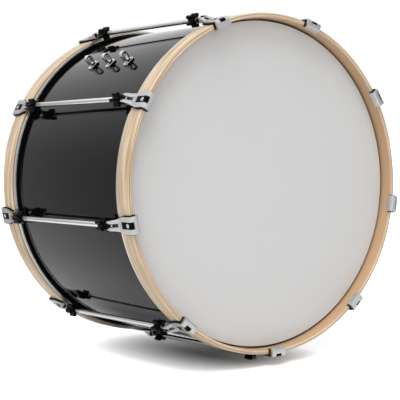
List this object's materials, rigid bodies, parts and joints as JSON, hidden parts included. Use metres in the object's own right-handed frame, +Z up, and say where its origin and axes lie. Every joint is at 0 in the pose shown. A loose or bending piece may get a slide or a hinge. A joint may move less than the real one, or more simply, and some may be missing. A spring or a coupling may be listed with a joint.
{
  "type": "marching bass drum",
  "caption": "Marching bass drum with a gloss black shell, wooden hoops held by metal claws, floating tension tubes and lobed hand screws, and sling eyes on one side.",
  "frame": {"origin": "on the ground, under the middle of the drum", "axes": "+Z up, the drum axis along Y with the front head facing -Y, +X to the right as seen from the front"},
  "size_m": [0.6658, 0.4784, 0.6557],
  "materials": {
    "black_lacquer": "gloss black lacquer",
    "maple": "clear satin lacquer",
    "head_film": "coated translucent film",
    "satin_metal": "satin",
    "bright_metal": "polished",
    "black_polymer": "moulded, semi-matt"
  },
  "bodies": {
    "shell_body": {"shell": "black_lacquer", "front_head": "head_film", "rear_head": "head_film", "front_flesh_hoop": "satin_metal", "rear_flesh_hoop": "satin_metal", "tube_1": "bright_metal", "tube_2": "bright_metal", "tube_3": "bright_metal", "tube_4": "bright_metal", "tube_5": "bright_metal", "tube_6": "bright_metal", "tube_7": "bright_metal", "tube_8": "bright_metal", "tube_9": "bright_metal", "sling_eye_1": "bright_metal", "sling_eye_2": "bright_metal", "sling_eye_3": "bright_metal", "eye_screw_plate_1": "bright_metal", "eye_screw_plate_2": "bright_metal", "eye_screw_plate_3": "bright_metal"},
    "front_hoop_body": {"front_hoop": "maple", "front_claw_1": "satin_metal", "front_claw_2": "satin_metal", "front_claw_3": "satin_metal", "front_claw_4": "satin_metal", "front_claw_5": "satin_metal", "front_claw_6": "satin_metal", "front_claw_7": "satin_metal", "front_claw_8": "satin_metal", "front_claw_9": "satin_metal"},
    "rear_hoop_body": {"rear_hoop": "maple", "rear_claw_1": "satin_metal", "rear_claw_2": "satin_metal", "rear_claw_3": "satin_metal", "rear_claw_4": "satin_metal", "rear_claw_5": "satin_metal", "rear_claw_6": "satin_metal", "rear_claw_7": "satin_metal", "rear_claw_8": "satin_metal", "rear_claw_9": "satin_metal"},
    "front_screw_1": {"front_hand_screw_1": "black_polymer"},
    "front_screw_2": {"front_hand_screw_2": "black_polymer"},
    "front_screw_3": {"front_hand_screw_3": "black_polymer"},
    "front_screw_4": {"front_hand_screw_4": "black_polymer"},
    "front_screw_5": {"front_hand_screw_5": "black_polymer"},
    "front_screw_6": {"front_hand_screw_6": "black_polymer"},
    "front_screw_7": {"front_hand_screw_7": "black_polymer"},
    "front_screw_8": {"front_hand_screw_8": "black_polymer"},
    "front_screw_9": {"front_hand_screw_9": "black_polymer"},
    "rear_screw_1": {"rear_hand_screw_1": "black_polymer"},
    "rear_screw_2": {"rear_hand_screw_2": "black_polymer"},
    "rear_screw_3": {"rear_hand_screw_3": "black_polymer"},
    "rear_screw_4": {"rear_hand_screw_4": "black_polymer"},
    "rear_screw_5": {"rear_hand_screw_5": "black_polymer"},
    "rear_screw_6": {"rear_hand_screw_6": "black_polymer"},
    "rear_screw_7": {"rear_hand_screw_7": "black_polymer"},
    "rear_screw_8": {"rear_hand_screw_8": "black_polymer"},
    "rear_screw_9": {"rear_hand_screw_9": "black_polymer"}
  },
  "joints": [
    {"name": "front_tuning", "type": "slide", "parent": "shell_body", "child": "front_hoop_body", "axis": [0, -1, 0], "range_m": [0, 0.00635]},
    {"name": "front_screw_1_turn", "type": "hinge", "parent": "front_hoop_body", "child": "front_screw_1", "pos_m": [0, -0.1536, 0.01238], "axis": [0, -1, 0], "range_deg": [0, 2161]},
    {"name": "front_screw_2_turn", "type": "hinge", "parent": "front_hoop_body", "child": "front_screw_2", "pos_m": [0.20871, -0.1536, 0.08835], "axis": [0, -1, 0], "range_deg": [0, 2161]},
    {"name": "front_screw_3_turn", "type": "hinge", "parent": "front_hoop_body", "child": "front_screw_3", "pos_m": [0.31977, -0.1536, 0.2807], "axis": [0, -1, 0], "range_deg": [0, 2161]},
    {"name": "front_screw_4_turn", "type": "hinge", "parent": "front_hoop_body", "child": "front_screw_4", "pos_m": [0.2812, -0.1536, 0.49943], "axis": [0, -1, 0], "range_deg": [0, 2161]},
    {"name": "front_screw_5_turn", "type": "hinge", "parent": "front_hoop_body", "child": "front_screw_5", "pos_m": [0.11105, -0.1536, 0.6422], "axis": [0, -1, 0], "range_deg": [0, 2161]},
    {"name": "front_screw_6_turn", "type": "hinge", "parent": "front_hoop_body", "child": "front_screw_6", "pos_m": [-0.11105, -0.1536, 0.6422], "axis": [0, -1, 0], "range_deg": [0, 2161]},
    {"name": "front_screw_7_turn", "type": "hinge", "parent": "front_hoop_body", "child": "front_screw_7", "pos_m": [-0.2812, -0.1536, 0.49943], "axis": [0, -1, 0], "range_deg": [0, 2161]},
    {"name": "front_screw_8_turn", "type": "hinge", "parent": "front_hoop_body", "child": "front_screw_8", "pos_m": [-0.31977, -0.1536, 0.2807], "axis": [0, -1, 0], "range_deg": [0, 2161]},
    {"name": "front_screw_9_turn", "type": "hinge", "parent": "front_hoop_body", "child": "front_screw_9", "pos_m": [-0.20871, -0.1536, 0.08835], "axis": [0, -1, 0], "range_deg": [0, 2161]},
    {"name": "rear_tuning", "type": "slide", "parent": "shell_body", "child": "rear_hoop_body", "axis": [0, 1, 0], "range_m": [0, 0.00635]},
    {"name": "rear_screw_1_turn", "type": "hinge", "parent": "rear_hoop_body", "child": "rear_screw_1", "pos_m": [0, 0.1536, 0.01238], "axis": [0, 1, 0], "range_deg": [0, 2161]},
    {"name": "rear_screw_2_turn", "type": "hinge", "parent": "rear_hoop_body", "child": "rear_screw_2", "pos_m": [0.20871, 0.1536, 0.08835], "axis": [0, 1, 0], "range_deg": [0, 2161]},
    {"name": "rear_screw_3_turn", "type": "hinge", "parent": "rear_hoop_body", "child": "rear_screw_3", "pos_m": [0.31977, 0.1536, 0.2807], "axis": [0, 1, 0], "range_deg": [0, 2161]},
    {"name": "rear_screw_4_turn", "type": "hinge", "parent": "rear_hoop_body", "child": "rear_screw_4", "pos_m": [0.2812, 0.1536, 0.49943], "axis": [0, 1, 0], "range_deg": [0, 2161]},
    {"name": "rear_screw_5_turn", "type": "hinge", "parent": "rear_hoop_body", "child": "rear_screw_5", "pos_m": [0.11105, 0.1536, 0.6422], "axis": [0, 1, 0], "range_deg": [0, 2161]},
    {"name": "rear_screw_6_turn", "type": "hinge", "parent": "rear_hoop_body", "child": "rear_screw_6", "pos_m": [-0.11105, 0.1536, 0.6422], "axis": [0, 1, 0], "range_deg": [0, 2161]},
    {"name": "rear_screw_7_turn", "type": "hinge", "parent": "rear_hoop_body", "child": "rear_screw_7", "pos_m": [-0.2812, 0.1536, 0.49943], "axis": [0, 1, 0], "range_deg": [0, 2161]},
    {"name": "rear_screw_8_turn", "type": "hinge", "parent": "rear_hoop_body", "child": "rear_screw_8", "pos_m": [-0.31977, 0.1536, 0.2807], "axis": [0, 1, 0], "range_deg": [0, 2161]},
    {"name": "rear_screw_9_turn", "type": "hinge", "parent": "rear_hoop_body", "child": "rear_screw_9", "pos_m": [-0.20871, 0.1536, 0.08835], "axis": [0, 1, 0], "range_deg": [0, 2161]}
  ],
  "couplings": [
    {"joint": "front_screw_1_turn", "follows": "front_tuning", "rad_per_m": 5936.9},
    {"joint": "front_screw_2_turn", "follows": "front_tuning", "rad_per_m": 5936.9},
    {"joint": "front_screw_3_turn", "follows": "front_tuning", "rad_per_m": 5936.9},
    {"joint": "front_screw_4_turn", "follows": "front_tuning", "rad_per_m": 5936.9},
    {"joint": "front_screw_5_turn", "follows": "front_tuning", "rad_per_m": 5936.9},
    {"joint": "front_screw_6_turn", "follows": "front_tuning", "rad_per_m": 5936.9},
    {"joint": "front_screw_7_turn", "follows": "front_tuning", "rad_per_m": 5936.9},
    {"joint": "front_screw_8_turn", "follows": "front_tuning", "rad_per_m": 5936.9},
    {"joint": "front_screw_9_turn", "follows": "front_tuning", "rad_per_m": 5936.9},
    {"joint": "rear_screw_1_turn", "follows": "rear_tuning", "rad_per_m": 5936.9},
    {"joint": "rear_screw_2_turn", "follows": "rear_tuning", "rad_per_m": 5936.9},
    {"joint": "rear_screw_3_turn", "follows": "rear_tuning", "rad_per_m": 5936.9},
    {"joint": "rear_screw_4_turn", "follows": "rear_tuning", "rad_per_m": 5936.9},
    {"joint": "rear_screw_5_turn", "follows": "rear_tuning", "rad_per_m": 5936.9},
    {"joint": "rear_screw_6_turn", "follows": "rear_tuning", "rad_per_m": 5936.9},
    {"joint": "rear_screw_7_turn", "follows": "rear_tuning", "rad_per_m": 5936.9},
    {"joint": "rear_screw_8_turn", "follows": "rear_tuning", "rad_per_m": 5936.9},
    {"joint": "rear_screw_9_turn", "follows": "rear_tuning", "rad_per_m": 5936.9}
  ]
}
